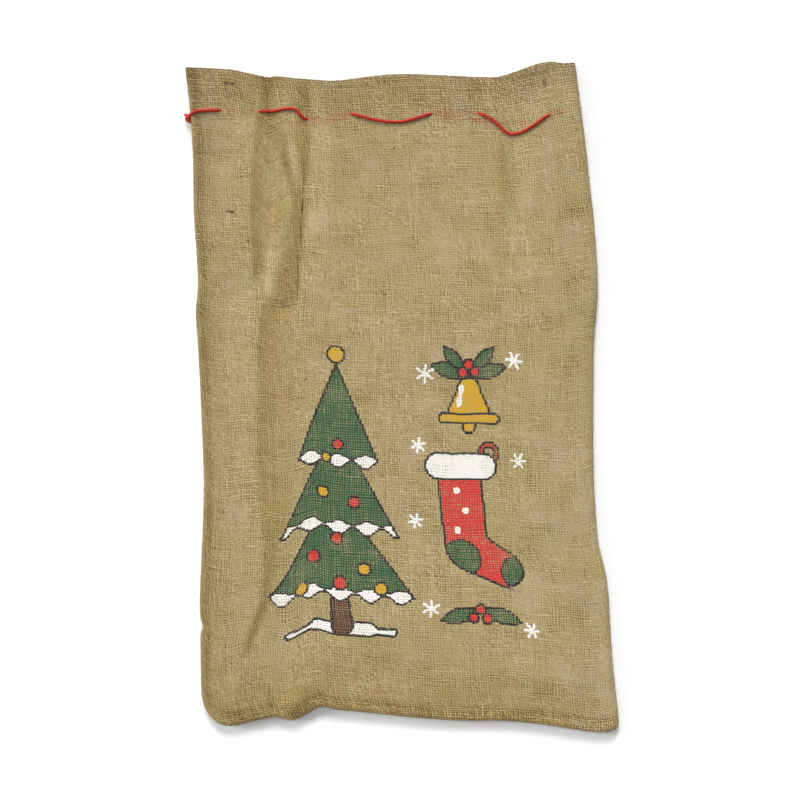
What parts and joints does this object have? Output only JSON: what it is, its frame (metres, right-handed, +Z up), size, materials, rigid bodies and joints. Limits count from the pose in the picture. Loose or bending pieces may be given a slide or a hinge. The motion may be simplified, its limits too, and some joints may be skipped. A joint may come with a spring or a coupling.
{
  "type": "burlap bag",
  "caption": "Flat open-mouthed burlap bag lying on a surface, with a red drawstring laced through both panels under the rim and knotted at the left edge.",
  "frame": {"origin": "on the surface the bag lies on, under the middle of its box", "axes": "+Y towards the mouth, +X to the right as seen from above, +Z up off the surface, through the printed front panel"},
  "size_m": [0.4348, 0.6704, 0.0184],
  "materials": {
    "burlap": "coarse plain weave of undyed jute, dry and matt, with small gaps between the threads",
    "red_string": "twisted red cotton string, slightly fuzzy"
  },
  "bodies": {
    "root": {"bag": "burlap", "drawstring": "red_string"}
  },
  "joints": []
}
